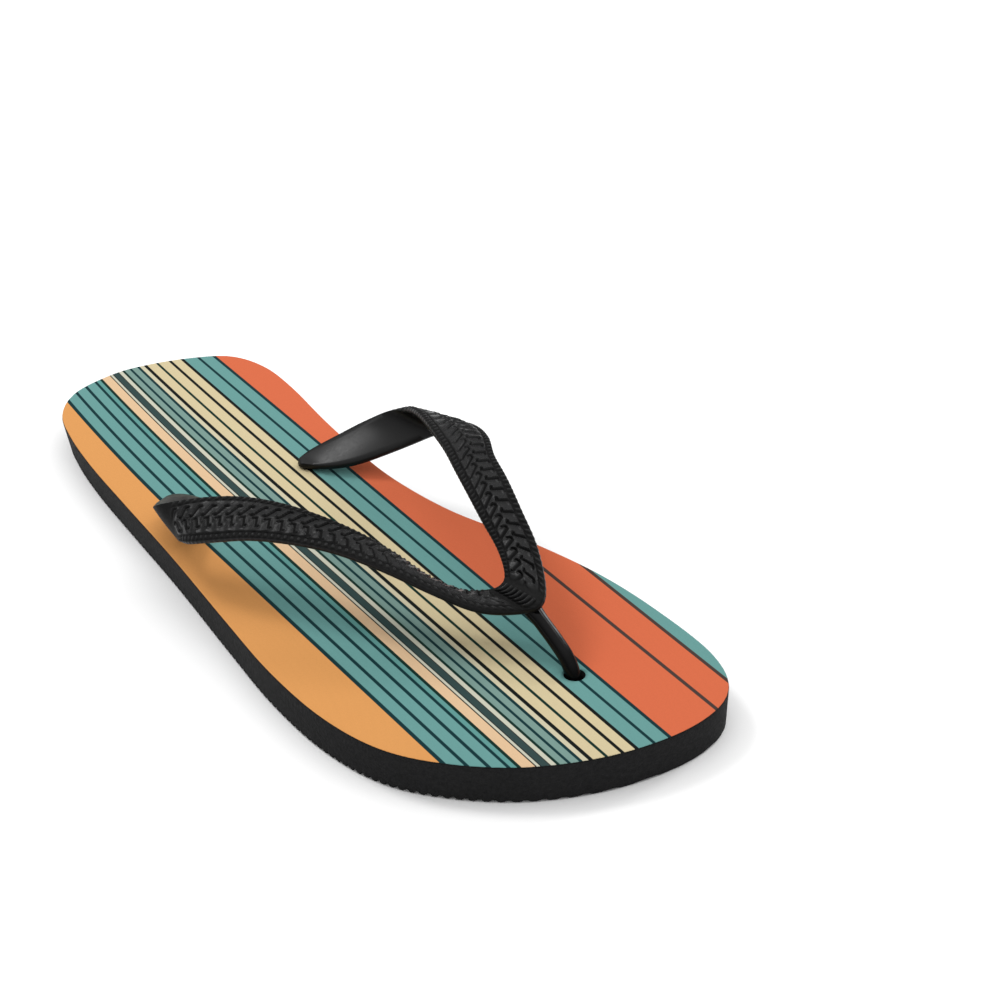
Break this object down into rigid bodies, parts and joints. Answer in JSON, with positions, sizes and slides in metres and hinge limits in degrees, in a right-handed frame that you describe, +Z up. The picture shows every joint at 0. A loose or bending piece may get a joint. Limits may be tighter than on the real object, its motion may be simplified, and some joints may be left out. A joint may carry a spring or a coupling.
{
  "type": "flip flop",
  "caption": "Flip flop for the right foot: foam rubber sole with printed cloth lining and a textured thong strap that holds the foot between the toes and over the instep.",
  "frame": {"origin": "middle of the footprint's bounding box, on the surface that the sole stands on", "axes": "+X to the outer (lateral) side of the foot, +Y along the length from heel to toes, +Z up"},
  "size_m": [0.111, 0.2699, 0.0415],
  "materials": {
    "foam_rubber": "matt closed-cell foam rubber, black",
    "printed_lining": "fine woven polyester printed with lengthwise stripes in teal, coral, beige and orange",
    "strap_rubber": "moulded black strap, braided relief on the outer face, satin inner face",
    "post_rubber": "smooth glossy moulded black rubber"
  },
  "bodies": {
    "rear_half": {"rear_sole": "foam_rubber", "rear_lining": "printed_lining", "medial_plug": "post_rubber", "lateral_plug": "post_rubber", "medial_strap_arm": "strap_rubber", "lateral_strap_arm": "strap_rubber"},
    "front_half": {"front_sole": "foam_rubber", "front_lining": "printed_lining", "strap_nose": "strap_rubber", "toe_post": "post_rubber", "toe_plug": "post_rubber"}
  },
  "joints": [
    {"name": "sole_flex", "type": "hinge", "parent": "rear_half", "child": "front_half", "pos_m": [0, 0.03699, 0.0122], "axis": [1, 0, 0], "range_deg": [0, 45], "stiffness_Nm_per_rad": 0.8, "deforming": ["medial_strap_arm", "lateral_strap_arm"]}
  ]
}
